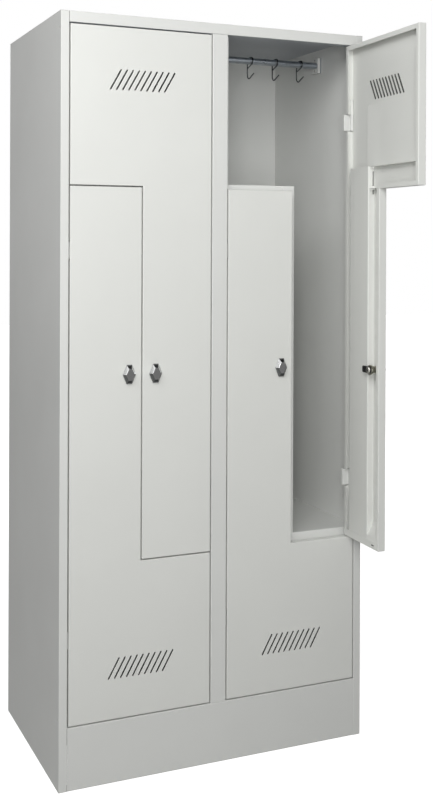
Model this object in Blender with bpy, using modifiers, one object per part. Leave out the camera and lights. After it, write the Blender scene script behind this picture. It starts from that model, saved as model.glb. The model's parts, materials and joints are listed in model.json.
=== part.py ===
"""Z locker: a free-standing sheet steel cabinet with four L-shaped doors.

Two columns stand side by side. Each column holds two compartments that
interlock like the strokes of a Z, so both reach hanging height in half a
column. Millimetre sizes below are turned to metres by MM. The front faces -Y,
the floor is Z = 0, and X = 0 is the middle of the width.
"""
import math

import bmesh
import bpy
from mathutils import Matrix

MM = 0.001

# Carcass
BODY_WIDTH = 800 * MM
BODY_DEPTH = 500 * MM
BODY_HEIGHT = 1800 * MM
SHEET = 1.0 * MM
FOLD_RADIUS = 1.5 * MM
SEAT_GAP = 0.3 * MM
STILE_WIDTH = 20 * MM
POST_WIDTH = 40 * MM
TOP_RAIL_HEIGHT = 26 * MM
PLINTH_HEIGHT = 146 * MM
REBATE_DEPTH = 24 * MM
STOP_WIDTH = 12 * MM
REAR_FLANGE = 20 * MM
FOOT_FLANGE = 30 * MM
BEARER_WIDTH = 40 * MM
JOINING_HOLE_RADIUS = 3 * MM
JOINING_HOLE_SETBACK = 13 * MM
JOINING_HOLE_TOP_DROP = 38 * MM
JOINING_HOLE_FLOOR_RISE = 165 * MM

# Z partitions
UPPER_STEP_DROP = 376 * MM
LOWER_STEP_RISE = 369 * MM
LEG_STOP_WIDTH = 17 * MM
SHELF_REAR_LIP = 15 * MM

# Doors
DOOR_THICKNESS = 20 * MM
DOOR_GAP = 3 * MM
DOOR_LIP = 12 * MM
OPEN_ANGLE = math.radians(87.5)
VENT_COUNT = 10
VENT_PITCH = 15 * MM
VENT_HEIGHT = 49 * MM
VENT_LEAN = 27.5 * MM
VENT_WIDTH = 3.6 * MM
UPPER_VENT_DROP = 126 * MM
LOWER_VENT_RISE = 122 * MM

# Hinges
PIVOT_INSET = 4.8 * MM
KNUCKLE_RADIUS = 3.5 * MM
PIN_RADIUS = 2.0 * MM
LEAF_HEIGHT = 41 * MM
BARREL_HEIGHT = 39 * MM
LEAF_WIDTH = 24 * MM
LEAF_DEPTH = 10 * MM
HINGE_ARM_THICKNESS = 2.4 * MM
BARREL_STRAP_DEPTH = 13 * MM
HINGE_END_INSET = 135 * MM
HINGE_LEG_INSET = 88 * MM
HINGE_SLOT_MARGIN = 2 * MM

# Door stiffeners
HAT_START = 24 * MM
HAT_FLANGE = 9 * MM
LOCK_CLEARANCE = 26.5 * MM
BAND_HEIGHT = 57 * MM
STIFFENER_DEPTH = 18 * MM
WALL_SLOT_WIDTH = 4 * MM

# Turn-knob lock
KNOB_HEIGHT = 956 * MM
KNOB_SETBACK = 31.5 * MM
KNOB_HALF_WIDTH = 16 * MM
KNOB_HALF_HEIGHT = 22.5 * MM
KNOB_FOOT_THICKNESS = 2.5 * MM
KNOB_DEPTH = 10.5 * MM
SPINDLE_RADIUS = 4 * MM
SPINDLE_END = 34 * MM
BODY_FLANGE_RADIUS = 12.5 * MM
BODY_FLANGE_THICKNESS = 1.6 * MM
BARREL_RADIUS = 9 * MM
LOCK_NUT_RADIUS = 12 * MM
LOCK_NUT_THICKNESS = 4 * MM
CAM_OFFSET = 28 * MM
CAM_THICKNESS = 2.5 * MM
CAM_REACH = 32 * MM
CAM_WIDTH = 16 * MM

# Hanging rails and hooks
RAIL_DEPTH_SIZE = 30 * MM
RAIL_THICKNESS = 15 * MM
RAIL_DROP = 45 * MM
RAIL_FRONT_DISTANCE = 233 * MM
SHORT_RAIL_DROP = 45 * MM
BRACKET_DEPTH = 33 * MM
BRACKET_HEIGHT = 40 * MM
BRACKET_THICKNESS = 2 * MM
HOOK_WIRE_RADIUS = 1.75 * MM
HOOK_DROP = 35 * MM
HOOK_BEND_RADIUS = 11 * MM
HOOK_TIP_LENGTH = 26 * MM
HOOK_TIP_RISE = math.radians(22)
HOOK_END_DROP = 7 * MM
HOOK_SPACING = 75 * MM
HOOK_OFFSET = -10 * MM
HOOKS_PER_RAIL = 3

# Cutters reach this far past what they cut
OVERRUN = 5 * MM
SMALL_EDGE = 0.5 * MM

# Places worked out from the sizes above
FRONT = -BODY_DEPTH / 2
REAR = BODY_DEPTH / 2
SIDE = BODY_WIDTH / 2
LEVEL_REBATE = REBATE_DEPTH + SHEET + SEAT_GAP
DOOR_TOP = BODY_HEIGHT - TOP_RAIL_HEIGHT
UPPER_STEP_HEIGHT = DOOR_TOP - UPPER_STEP_DROP
LOWER_STEP_HEIGHT = PLINTH_HEIGHT + LOWER_STEP_RISE
BACK_FACE = REAR - SHEET - SEAT_GAP
BACK_INNER = BACK_FACE - SHEET
FLOOR_TOP = PLINTH_HEIGHT + STOP_WIDTH
COLUMN_OPENING = SIDE - STILE_WIDTH - POST_WIDTH / 2
COLUMN_CENTRE = POST_WIDTH / 2 + COLUMN_OPENING / 2
DOOR_WIDTH = COLUMN_OPENING - 2 * DOOR_GAP
LEG_WIDTH = COLUMN_OPENING / 2 - DOOR_GAP * 3 / 2
HAT_END = LEG_WIDTH - KNOB_SETBACK - LOCK_CLEARANCE
RAIL_LEVEL = BODY_HEIGHT - RAIL_DROP
RAIL_PLACE = FRONT + RAIL_FRONT_DISTANCE
COLUMNS = (("left", -1), ("right", 1))

FOLD_STEPS = 2
ROUND_STEPS = 20
SMALL_ROUND_STEPS = 12
SHARP_ANGLE = math.radians(35)
QUARTER = math.pi / 2


def clear_scene():
    for item in list(bpy.data.objects):
        bpy.data.objects.remove(item, do_unlink=True)
    for group in list(bpy.data.collections):
        bpy.data.collections.remove(group)


def new_collection(name):
    group = bpy.data.collections.new(name)
    bpy.context.scene.collection.children.link(group)
    return group


def srgb_to_linear(value):
    return value / 12.92 if value <= 0.04045 else ((value + 0.055) / 1.055) ** 2.4


def material(name, hex_colour, roughness, metallic):
    made = bpy.data.materials.new(name)
    made.use_nodes = True
    shader = made.node_tree.nodes["Principled BSDF"]
    channels = [srgb_to_linear(int(hex_colour[i:i + 2], 16) / 255) for i in (0, 2, 4)]
    shader.inputs["Base Color"].default_value = (*channels, 1)
    shader.inputs["Roughness"].default_value = roughness
    shader.inputs["Metallic"].default_value = metallic
    made.diffuse_color = (*channels, 1)
    return made


clear_scene()
PARTS = new_collection("z_locker")
CUTTERS = new_collection("cutters")
PAINTED = material("powder_coated_steel", "DCDDD9", 0.45, 0.0)
PAINTED_DOOR = material("powder_coated_door", "E0E1DD", 0.45, 0.0)
ZINC = material("zinc_die_cast", "8C8E90", 0.35, 0.9)
LOCK_STEEL = material("plated_lock_body", "8C8B80", 0.4, 0.9)
BLACKED = material("black_oxide_steel", "2A2B2C", 0.4, 0.6)
RAIL_STEEL = material("galvanised_rail", "8F9296", 0.4, 0.8)


def add_object(name, mesh, group, finish=None, parent=None):
    made = bpy.data.objects.new(name, mesh)
    group.objects.link(made)
    if finish is not None:
        mesh.materials.append(finish)
    if parent is not None:
        made.parent = parent
    return made


def add_empty(name, place, turn=(0, 0, 0), parent=None):
    made = bpy.data.objects.new(name, None)
    made.empty_display_size = DOOR_THICKNESS
    made.location = place
    made.rotation_euler = turn
    made.parent = parent
    PARTS.objects.link(made)
    return made


def mesh_from(bm, name):
    mesh = bpy.data.meshes.new(name)
    bm.to_mesh(mesh)
    bm.free()
    return mesh


def box_mesh(name, low, high):
    """A cube primitive scaled and moved to fill low..high."""
    size = [b - a for a, b in zip(low, high)]
    middle = [(a + b) / 2 for a, b in zip(low, high)]
    bm = bmesh.new()
    bmesh.ops.create_cube(bm, size=1)
    bmesh.ops.transform(bm, matrix=Matrix.Translation(middle) @ Matrix.Diagonal((*size, 1)), verts=bm.verts)
    return mesh_from(bm, name)


def cylinder_mesh(name, radius, start, end, axis, centre, steps=ROUND_STEPS):
    """A closed cylinder along axis from start to end; centre is its place across the axis."""
    bm = bmesh.new()
    bmesh.ops.create_cone(bm, cap_ends=True, segments=steps, radius1=radius, radius2=radius, depth=end - start)
    middle = (start + end) / 2
    if axis == "Z":
        place = Matrix.Translation((centre[0], centre[1], middle))
    elif axis == "Y":
        place = Matrix.Translation((centre[0], middle, centre[1])) @ Matrix.Rotation(QUARTER, 4, "X")
    else:
        place = Matrix.Translation((middle, centre[0], centre[1])) @ Matrix.Rotation(QUARTER, 4, "Y")
    bmesh.ops.transform(bm, matrix=place, verts=bm.verts)
    return mesh_from(bm, name)


def bevel(item, width, steps=FOLD_STEPS):
    edge = item.modifiers.new("edge", "BEVEL")
    edge.width = width
    edge.segments = steps
    edge.limit_method = "ANGLE"
    edge.angle_limit = SHARP_ANGLE
    edge.use_clamp_overlap = True
    return edge


def thicken(item):
    """Gives an open surface the sheet's thickness, away from its outer face."""
    wall = item.modifiers.new("sheet", "SOLIDIFY")
    wall.thickness = SHEET
    wall.offset = -1
    wall.use_even_offset = True
    wall.use_quality_normals = True
    return wall


def combine(item, other, operation):
    step = item.modifiers.new(operation.lower(), "BOOLEAN")
    step.operation = operation
    step.solver = "EXACT"
    step.object = other
    other.hide_render = True
    other.display_type = "WIRE"
    return step


def cut_box(item, low, high, label="cut"):
    tool = add_object(item.name + "_" + label, box_mesh(label, low, high), CUTTERS, parent=item.parent)
    combine(item, tool, "DIFFERENCE")


def cut_round(item, radius, start, end, axis, centre, steps=ROUND_STEPS, label="hole"):
    mesh = cylinder_mesh(label, radius, start, end, axis, centre, steps)
    combine(item, add_object(item.name + "_" + label, mesh, CUTTERS, parent=item.parent), "DIFFERENCE")


def join_mesh(item, mesh, label):
    combine(item, add_object(item.name + "_" + label, mesh, CUTTERS, parent=item.parent), "UNION")


def extruded_strip(path, axis, start, end):
    """An open strip: path in the plane across axis, drawn from start to end.

    Its faces point to the right of the path's travel for axis Z, and the sheet
    thickness grows to the left.
    """
    bm = bmesh.new()
    if axis == "Z":
        points = [(p, q, start) for p, q in path]
        move = (0, 0, end - start)
    else:
        points = [(start, p, q) for p, q in path]
        move = (end - start, 0, 0)
    row = [bm.verts.new(point) for point in points]
    edges = [bm.edges.new(pair) for pair in zip(row, row[1:])]
    raised = bmesh.ops.extrude_edge_only(bm, edges=edges)["geom"]
    bmesh.ops.translate(bm, vec=move, verts=[v for v in raised if isinstance(v, bmesh.types.BMVert)])
    orient_strip(bm, row[0], row[1], move)
    return bm


def orient_strip(bm, first, second, move):
    """Turns every face so that it points along travel x draw direction."""
    bm.normal_update()
    travel = second.co - first.co
    wanted = travel.cross(move)
    bmesh.ops.recalc_face_normals(bm, faces=bm.faces)
    bm.normal_update()
    shared = next(e for e in first.link_edges if e.other_vert(first) is second)
    if shared.link_faces[0].normal.dot(wanted) < 0:
        bmesh.ops.reverse_faces(bm, faces=bm.faces)


def folded_sheet(name, path, axis, start, end, finish=PAINTED, parent=None, radius=FOLD_RADIUS):
    """A folded sheet metal piece: open strip, rounded folds, even thickness."""
    bm = extruded_strip(path, axis, start, end)
    piece = add_object(name, mesh_from(bm, name), PARTS, finish, parent)
    bevel(piece, radius)
    thicken(piece)
    return piece


def mirrored(path):
    """The same fold on the other side, drawn the other way so the thickness stays inside."""
    return [(-p, q) for p, q in reversed(path)]


def make_side(name, column_sign):
    """Side wall with its front stile, door rebate, stop and rear flange in one sheet."""
    inner = -SIDE + STILE_WIDTH
    path = [
        (-SIDE + REAR_FLANGE, REAR),
        (-SIDE, REAR),
        (-SIDE, FRONT),
        (inner, FRONT),
        (inner, FRONT + REBATE_DEPTH),
        (inner + STOP_WIDTH, FRONT + REBATE_DEPTH),
    ]
    if column_sign > 0:
        path = mirrored(path)
    top = BODY_HEIGHT - SHEET - SEAT_GAP
    side = folded_sheet(name, path, "Z", 0, top)
    # the rebate is coped away where the plinth and the top rail close the corner
    low_x = inner - SHEET - FOLD_RADIUS
    high_x = inner + STOP_WIDTH + OVERRUN
    if column_sign > 0:
        low_x, high_x = -high_x, -low_x
    near = FRONT + SHEET + FOLD_RADIUS
    far = FRONT + REBATE_DEPTH + SHEET + OVERRUN
    cut_box(side, (low_x, near, -OVERRUN), (high_x, far, PLINTH_HEIGHT + FOLD_RADIUS), "plinth_cope")
    cut_box(side, (low_x, near, DOOR_TOP - SEAT_GAP), (high_x, far, BODY_HEIGHT + OVERRUN), "rail_cope")
    hole_y = FRONT + JOINING_HOLE_SETBACK
    wall = column_sign * SIDE
    for level in (JOINING_HOLE_FLOOR_RISE, BODY_HEIGHT - JOINING_HOLE_TOP_DROP):
        cut_round(side, JOINING_HOLE_RADIUS, wall - OVERRUN, wall + OVERRUN, "X", (hole_y, level),
                  SMALL_ROUND_STEPS)
    return side


def make_roof():
    """Roof sheet with the top rail, its ledge and upturned lip, and the rear flange folded from it."""
    half = SIDE - STILE_WIDTH - SEAT_GAP
    relief = FOLD_RADIUS * 2
    columns = (-SIDE, -half - relief, -half, half, half + relief, SIDE)
    rows = (FRONT, FRONT + relief, REAR - relief, REAR)
    bm = bmesh.new()
    grid = [[bm.verts.new((x, y, BODY_HEIGHT)) for x in columns] for y in rows]
    for i in range(len(rows) - 1):
        for j in range(len(columns) - 1):
            # the bend reliefs beside the folded part of the front and rear edges stay open
            if i == 1 or j not in (1, 3):
                bm.faces.new((grid[i][j], grid[i][j + 1], grid[i + 1][j + 1], grid[i + 1][j]))
    bm.normal_update()
    fronts = [bm.edges.get((grid[0][2], grid[0][3]))]
    rears = [bm.edges.get((grid[-1][2], grid[-1][3]))]
    steps = (
        (0, 0, -TOP_RAIL_HEIGHT),
        (0, LEVEL_REBATE, 0),
        (0, 0, STOP_WIDTH),
    )
    for move in steps:
        fronts = pull_edges(bm, fronts, move)
    pull_edges(bm, rears, (0, 0, -REAR_FLANGE))
    bmesh.ops.recalc_face_normals(bm, faces=bm.faces)
    bm.normal_update()
    if max(bm.faces, key=lambda face: face.calc_area()).normal.z < 0:
        bmesh.ops.reverse_faces(bm, faces=bm.faces)
    roof = add_object("roof", mesh_from(bm, "roof"), PARTS, PAINTED)
    bevel(roof, FOLD_RADIUS)
    thicken(roof)
    return roof


def pull_edges(bm, edges, move):
    """Extrudes edges by move and gives back the new outer edges."""
    grown = bmesh.ops.extrude_edge_only(bm, edges=edges)["geom"]
    verts = [g for g in grown if isinstance(g, bmesh.types.BMVert)]
    bmesh.ops.translate(bm, vec=move, verts=verts)
    chosen = set(verts)
    return [g for g in grown if isinstance(g, bmesh.types.BMEdge) and all(v in chosen for v in g.verts)]


def make_plinth():
    half = SIDE - STILE_WIDTH - SEAT_GAP
    path = [
        (FRONT + LEVEL_REBATE, PLINTH_HEIGHT + STOP_WIDTH),
        (FRONT + LEVEL_REBATE, PLINTH_HEIGHT),
        (FRONT, PLINTH_HEIGHT),
        (FRONT, 0),
        (FRONT + FOOT_FLANGE, 0),
    ]
    return folded_sheet("plinth", path, "X", -half, half)


def make_floor_pan():
    half = SIDE - SHEET - SEAT_GAP
    near = FRONT + LEVEL_REBATE + SHEET + SEAT_GAP
    far = BACK_INNER - SEAT_GAP
    path = [
        (far, FLOOR_TOP - REAR_FLANGE),
        (far, FLOOR_TOP),
        (near, FLOOR_TOP),
        (near, FLOOR_TOP - REAR_FLANGE),
    ]
    return folded_sheet("floor_pan", path, "X", -half, half)


def make_floor_bearer():
    """Channel across the middle under the floor pan; its flat web stands on the floor."""
    half = SIDE - SHEET - SEAT_GAP
    top = FLOOR_TOP - SHEET - SEAT_GAP
    path = [(-BEARER_WIDTH / 2, top), (-BEARER_WIDTH / 2, 0), (BEARER_WIDTH / 2, 0), (BEARER_WIDTH / 2, top)]
    return folded_sheet("floor_bearer", path, "X", -half, half)


def make_back_panel():
    half = SIDE - SHEET - SEAT_GAP
    top = BODY_HEIGHT - SHEET - SEAT_GAP
    path = [(half, BACK_FACE), (-half, BACK_FACE)]
    return folded_sheet("back_panel", path, "Z", 0, top)


def make_centre_post():
    half = POST_WIDTH / 2
    path = [
        (-half - STOP_WIDTH, FRONT + REBATE_DEPTH),
        (-half, FRONT + REBATE_DEPTH),
        (-half, FRONT),
        (half, FRONT),
        (half, FRONT + REBATE_DEPTH),
        (half + STOP_WIDTH, FRONT + REBATE_DEPTH),
    ]
    post = folded_sheet("centre_post", path, "Z", PLINTH_HEIGHT + SEAT_GAP, DOOR_TOP - SEAT_GAP)
    # the stops end short of the fold of the plinth
    reach = half + STOP_WIDTH + OVERRUN
    near = FRONT + REBATE_DEPTH - FOLD_RADIUS
    far = FRONT + REBATE_DEPTH + OVERRUN
    cut_box(post, (-reach, near, PLINTH_HEIGHT), (reach, far, PLINTH_HEIGHT + FOLD_RADIUS), "low_cope")
    return post


def make_centre_partition():
    """The wall between the columns; its front flange is welded inside the centre post."""
    web = -SHEET / 2
    near = FRONT + SHEET + SEAT_GAP
    path = [
        (REAR_FLANGE, BACK_INNER - SEAT_GAP),
        (web, BACK_INNER - SEAT_GAP),
        (web, near),
        (POST_WIDTH / 2 - SHEET - FOLD_RADIUS - SEAT_GAP, near),
    ]
    top = BODY_HEIGHT - SHEET - SEAT_GAP
    wall = folded_sheet("centre_partition", path, "Z", FLOOR_TOP + SEAT_GAP, top)
    cope_depth = FRONT + LEVEL_REBATE + SEAT_GAP
    cope_level = DOOR_TOP - SEAT_GAP
    cut_box(wall, (-POST_WIDTH, FRONT, cope_level), (POST_WIDTH, cope_depth, BODY_HEIGHT + OVERRUN), "rail_cope")
    return wall


def make_partitions(column, sign):
    """The Z of one column: upper shelf, upright divider and lower shelf."""
    middle = sign * COLUMN_CENTRE
    left_wall = -SIDE + SHEET if sign < 0 else SHEET / 2
    right_wall = -SHEET / 2 if sign < 0 else SIDE - SHEET
    near = FRONT + LEVEL_REBATE
    far = BACK_INNER - SHEET - 2 * SEAT_GAP
    web = middle - LEG_STOP_WIDTH

    def shelf(name, top, low_x, high_x):
        path = [
            (far, top - SHELF_REAR_LIP),
            (far, top),
            (near, top),
            (near, top - STOP_WIDTH - LEG_STOP_WIDTH),
        ]
        return folded_sheet(name, path, "X", low_x, high_x)

    # the lips reach further behind the doors' legs than behind their wide parts
    upper_top = UPPER_STEP_HEIGHT + STOP_WIDTH
    lower_top = LOWER_STEP_HEIGHT + LEG_STOP_WIDTH
    shelf(column + "_upper_shelf", upper_top, left_wall + SEAT_GAP, web - SEAT_GAP)
    shelf(column + "_lower_shelf", lower_top, web, right_wall - SEAT_GAP)
    path = [
        (web + SHELF_REAR_LIP, far),
        (web, far),
        (web, near),
        (middle + LEG_STOP_WIDTH, near),
        (middle + LEG_STOP_WIDTH, near + SHELF_REAR_LIP),
    ]
    divider = folded_sheet(column + "_divider", path, "Z", lower_top + SEAT_GAP, upper_top)
    # slots that the lock tongues turn into, open below for their sweep
    slot_near = near + SHEET + SEAT_GAP
    slot_far = FRONT + CAM_OFFSET + CAM_THICKNESS + HINGE_SLOT_MARGIN
    reach = LEG_STOP_WIDTH + HINGE_SLOT_MARGIN
    cut_box(divider, (middle - reach, slot_near, KNOB_HEIGHT - CAM_REACH + CAM_WIDTH / 4),
            (middle + reach, slot_far, KNOB_HEIGHT + CAM_WIDTH / 2 + HINGE_SLOT_MARGIN), "strike_slot")


class Door:
    """Sizes and axes of one L-shaped door, in its own frame.

    The frame's origin lies on the hinge axis at the level of the wide part's
    outer edge. X runs from the hinge to the free edge, Y into the locker and Z
    from the wide part's outer edge towards the end of the leg. The upper doors
    are the lower ones turned half a turn about Y.
    """

    def __init__(self, column, sign, row):
        self.name = row + "_" + column
        self.upper = row == "upper"
        middle = sign * COLUMN_CENTRE
        edge = COLUMN_OPENING / 2 - DOOR_GAP - PIVOT_INSET
        if self.upper:
            place = (middle + edge, FRONT + PIVOT_INSET, DOOR_TOP - DOOR_GAP)
            flip = math.pi
            self.step = DOOR_TOP - DOOR_GAP * 3 / 2 - UPPER_STEP_HEIGHT
            self.length = DOOR_TOP - DOOR_GAP * 3 / 2 - LOWER_STEP_HEIGHT
            self.vent = UPPER_VENT_DROP - DOOR_GAP
            self.knob = DOOR_TOP - DOOR_GAP - KNOB_HEIGHT
        else:
            place = (middle - edge, FRONT + PIVOT_INSET, PLINTH_HEIGHT + DOOR_GAP)
            flip = 0
            self.step = LOWER_STEP_HEIGHT - DOOR_GAP * 3 / 2 - PLINTH_HEIGHT
            self.length = UPPER_STEP_HEIGHT - DOOR_GAP * 3 / 2 - PLINTH_HEIGHT
            self.vent = LOWER_VENT_RISE - DOOR_GAP
            self.knob = KNOB_HEIGHT - PLINTH_HEIGHT - DOOR_GAP
        swing = OPEN_ANGLE if self.upper and sign > 0 else 0
        self.fixed = add_empty(self.name + "_frame_side", place, (0, flip, 0))
        pivot = add_empty(self.name + "_hinge_axis", place, (0, 0, swing))
        self.moving = add_empty(self.name + "_door_side", (0, 0, 0), (0, flip, 0), pivot)
        # door coordinates are measured from the outer front corner at the hinge
        self.left = -PIVOT_INSET
        self.front = -PIVOT_INSET
        self.knob_x = self.left + LEG_WIDTH - KNOB_SETBACK
        self.lock_axis = add_empty(self.name + "_lock_axis", (self.knob_x, self.front, self.knob), parent=self.moving)
        # each hinge is a leaf with its barrel on the side of the nearer door end
        self.hinges = (
            ("end", HINGE_END_INSET, 1),
            ("leg", self.length - HINGE_LEG_INSET, -1),
        )

    def outline(self):
        left = self.left
        return [
            (left, 0),
            (left + DOOR_WIDTH, 0),
            (left + DOOR_WIDTH, self.step),
            (left + LEG_WIDTH, self.step),
            (left + LEG_WIDTH, self.length),
            (left, self.length),
        ]

    def leaf_span(self, start, way):
        """Level range of the frame leaf of a hinge whose barrel starts at start."""
        near = start + way * (BARREL_HEIGHT + SEAT_GAP)
        return tuple(sorted((near, near + way * LEAF_HEIGHT)))

    def barrel_span(self, start, way):
        return tuple(sorted((start, start + way * BARREL_HEIGHT)))


def inset_outline(points, distance):
    """Moves each side of a right-angled outline inwards by distance."""
    count = len(points)
    area = sum(points[i][0] * points[(i + 1) % count][1] - points[(i + 1) % count][0] * points[i][1]
               for i in range(count))
    turn = 1 if area > 0 else -1
    moved = []
    for i in range(count):
        before = points[i - 1]
        here = points[i]
        after = points[(i + 1) % count]
        shift = [0, 0]
        for start, end in ((before, here), (here, after)):
            run = math.hypot(end[0] - start[0], end[1] - start[1])
            shift[0] -= turn * (end[1] - start[1]) / run * distance
            shift[1] += turn * (end[0] - start[0]) / run * distance
        moved.append((here[0] + shift[0], here[1] + shift[1]))
    return moved


def slot_cutter(name, centre_x, centre_z, parent):
    """Ten leaning round-ended slots as one cutter: flat curves given depth."""
    curve = bpy.data.curves.new(name, "CURVE")
    curve.dimensions = "2D"
    curve.fill_mode = "BOTH"
    curve.extrude = OVERRUN
    half = VENT_WIDTH / 2
    lean = math.atan2(VENT_LEAN, VENT_HEIGHT)
    reach = math.hypot(VENT_LEAN, VENT_HEIGHT) / 2 - half
    steps = 4
    for number in range(VENT_COUNT):
        offset = (number - (VENT_COUNT - 1) / 2) * VENT_PITCH
        spline = curve.splines.new("POLY")
        spline.points.add(2 * (steps + 1) - 1)
        index = 0
        for end in (1, -1):
            for step in range(steps + 1):
                along = end * (reach + half * math.sin(math.pi * step / steps))
                across = end * half * math.cos(math.pi * step / steps)
                x = offset + along * math.sin(lean) + across * math.cos(lean)
                y = along * math.cos(lean) - across * math.sin(lean)
                spline.points[index].co = (x, y, 0, 1)
                index += 1
        spline.use_cyclic_u = True
    flat = bpy.data.objects.new(name + "_curve", curve)
    CUTTERS.objects.link(flat)
    turn = Matrix.Rotation(QUARTER, 4, "X")
    mesh = bpy.data.meshes.new_from_object(flat.evaluated_get(bpy.context.evaluated_depsgraph_get()))
    bpy.data.objects.remove(flat, do_unlink=True)
    bm = bmesh.new()
    bm.from_mesh(mesh)
    bmesh.ops.remove_doubles(bm, verts=bm.verts, dist=SHEET / 100)
    bmesh.ops.transform(bm, matrix=Matrix.Translation((centre_x, 0, centre_z)) @ turn, verts=bm.verts)
    bmesh.ops.recalc_face_normals(bm, faces=bm.faces)
    bm.to_mesh(mesh)
    bm.free()
    tool = add_object(name, mesh, CUTTERS, parent=parent)
    tool.location = (0, -PIVOT_INSET, 0)
    return tool


def make_door_pan(door):
    """The door sheet: L face, edges folded back, then lips folded in."""
    front = door.front
    bm = bmesh.new()
    face = bm.faces.new([bm.verts.new((x, front, z)) for x, z in door.outline()])
    bm.normal_update()
    if face.normal.y > 0:
        bmesh.ops.reverse_faces(bm, faces=[face])
    rim = pull_edges(bm, list(bm.edges), (0, DOOR_THICKNESS, 0))
    lips = pull_edges(bm, rim, (0, 0, 0))
    inner = inset_outline(door.outline(), DOOR_LIP)
    lip_verts = {v for e in lips for v in e.verts}
    for (x, z), (to_x, to_z) in zip(door.outline(), inner):
        for vert in lip_verts:
            if abs(vert.co.x - x) < SHEET and abs(vert.co.z - z) < SHEET:
                vert.co.x = to_x
                vert.co.z = to_z
                lip_verts.discard(vert)
                break
    bmesh.ops.recalc_face_normals(bm, faces=bm.faces)
    bm.normal_update()
    if max(bm.faces, key=lambda f: f.calc_area()).normal.y > 0:
        bmesh.ops.reverse_faces(bm, faces=bm.faces)
    name = door.name + "_door"
    pan = add_object(name, mesh_from(bm, name), PARTS, PAINTED_DOOR, door.moving)
    bevel(pan, FOLD_RADIUS)
    thicken(pan)
    left = door.left
    back = front + DOOR_THICKNESS
    for label, start, way in door.hinges:
        # the fixed arm swings through this notch in the folded edge and lip
        low, high = door.leaf_span(start, way)
        cut_box(pan, (left - OVERRUN, front + FOLD_RADIUS, low - HINGE_SLOT_MARGIN),
                (left + SHEET + DOOR_LIP + OVERRUN, back + OVERRUN, high + HINGE_SLOT_MARGIN), label + "_notch")
    for label, start, way in door.hinges:
        low, high = door.barrel_span(start, way)
        strap = box_mesh(label + "_strap", (left + SHEET / 2, front + FOLD_RADIUS + SHEET, low),
                         (-PIN_RADIUS - SEAT_GAP * 3 / 2, front + BARREL_STRAP_DEPTH, high))
        join_mesh(pan, strap, label + "_strap")
        join_mesh(pan, cylinder_mesh(label + "_barrel", KNUCKLE_RADIUS, low, high, "Z", (0, 0), ROUND_STEPS),
                  label + "_barrel")
        cut_round(pan, PIN_RADIUS + SEAT_GAP, low - SHEET, high + SHEET, "Z", (0, 0), SMALL_ROUND_STEPS,
                  label + "_bore")
    cut_round(pan, BARREL_RADIUS + SEAT_GAP, front - OVERRUN, front + OVERRUN, "Y", (door.knob_x, door.knob),
              label="lock_hole")
    vents = slot_cutter(name + "_vents", left + DOOR_WIDTH / 2, door.vent, door.moving)
    combine(pan, vents, "DIFFERENCE")
    return pan


def make_stiffeners(door):
    """A hat section along the leg and a channel along the step, both on the door's skin."""
    left = door.left
    skin = door.front + SHEET + SEAT_GAP
    crown = door.front + STIFFENER_DEPTH
    top = door.step - BAND_HEIGHT
    path = [
        (left + HAT_START - HAT_FLANGE, skin),
        (left + HAT_START, skin),
        (left + HAT_START, crown),
        (left + HAT_END, crown),
        (left + HAT_END, skin),
        (left + HAT_END + HAT_FLANGE / 2, skin),
    ]
    foot = door.length - DOOR_LIP - SHEET - SEAT_GAP
    hat = folded_sheet(door.name + "_leg_stiffener", path, "Z", top, foot, PAINTED_DOOR, door.moving)
    slot_near = skin + FOLD_RADIUS + SEAT_GAP
    slot_far = slot_near + WALL_SLOT_WIDTH
    for start, height in ((BAND_HEIGHT - DOOR_LIP, STIFFENER_DEPTH * 2), (0, DOOR_LIP)):
        low = door.step - start
        cut_box(hat, (left + HAT_END - OVERRUN, slot_near, low), (left + HAT_END + OVERRUN, slot_far, low + height),
                "slot")
    low = door.step - SHEET - SEAT_GAP
    channel = [(crown, low), (skin, low), (skin, top), (crown, top)]
    start = left + HAT_END + HAT_FLANGE / 2 + SEAT_GAP
    end = left + DOOR_WIDTH - DOOR_LIP - SHEET - SEAT_GAP
    folded_sheet(door.name + "_step_stiffener", channel, "X", start, end, PAINTED_DOOR, door.moving)


def make_frame_leaf(door, label, start, way):
    """Fixed hinge leaf: a block on the door stop, an arm into the door edge and the pin."""
    low, high = door.leaf_span(start, way)
    stop = door.front + REBATE_DEPTH
    block_back = stop - SEAT_GAP
    block_front = block_back - LEAF_DEPTH
    edge = door.left - DOOR_GAP + FOLD_RADIUS
    name = door.name + "_" + label + "_hinge_leaf"
    leaf = add_object(name, box_mesh(name, (edge, block_front, low), (edge + LEAF_WIDTH, block_back, high)),
                      PARTS, PAINTED, door.fixed)
    bevel(leaf, SMALL_EDGE, 1)
    arm = HINGE_ARM_THICKNESS / 2
    join_mesh(leaf, box_mesh("arm", (-arm, 0, low), (arm, block_back - LEAF_DEPTH / 2, high)), "arm")
    join_mesh(leaf, cylinder_mesh("knuckle", KNUCKLE_RADIUS, low, high, "Z", (0, 0)), "knuckle")
    if way > 0:
        pin_low, pin_high = start - SHEET, low + LEAF_HEIGHT / 2
    else:
        pin_low, pin_high = high - LEAF_HEIGHT / 2, start + SHEET
    join_mesh(leaf, cylinder_mesh("pin", PIN_RADIUS, pin_low, pin_high, "Z", (0, 0), SMALL_ROUND_STEPS), "pin")
    return leaf


def turned_ring(name, profile, finish, parent, steps=ROUND_STEPS):
    """A ring turned about Y; profile is (radius, depth) down its outer side and back up its bore."""
    bm = bmesh.new()
    row = [bm.verts.new((radius, 0, depth)) for radius, depth in profile]
    for pair in zip(row, row[1:] + row[:1]):
        bm.edges.new(pair)
    ring = add_object(name, mesh_from(bm, name), PARTS, finish, parent)
    ring.rotation_euler = (-QUARTER, 0, 0)
    screw = ring.modifiers.new("turn", "SCREW")
    screw.steps = steps
    screw.render_steps = steps
    screw.use_merge_vertices = True
    screw.merge_threshold = SHEET / 100
    screw.use_normal_calculate = True
    return ring


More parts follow.
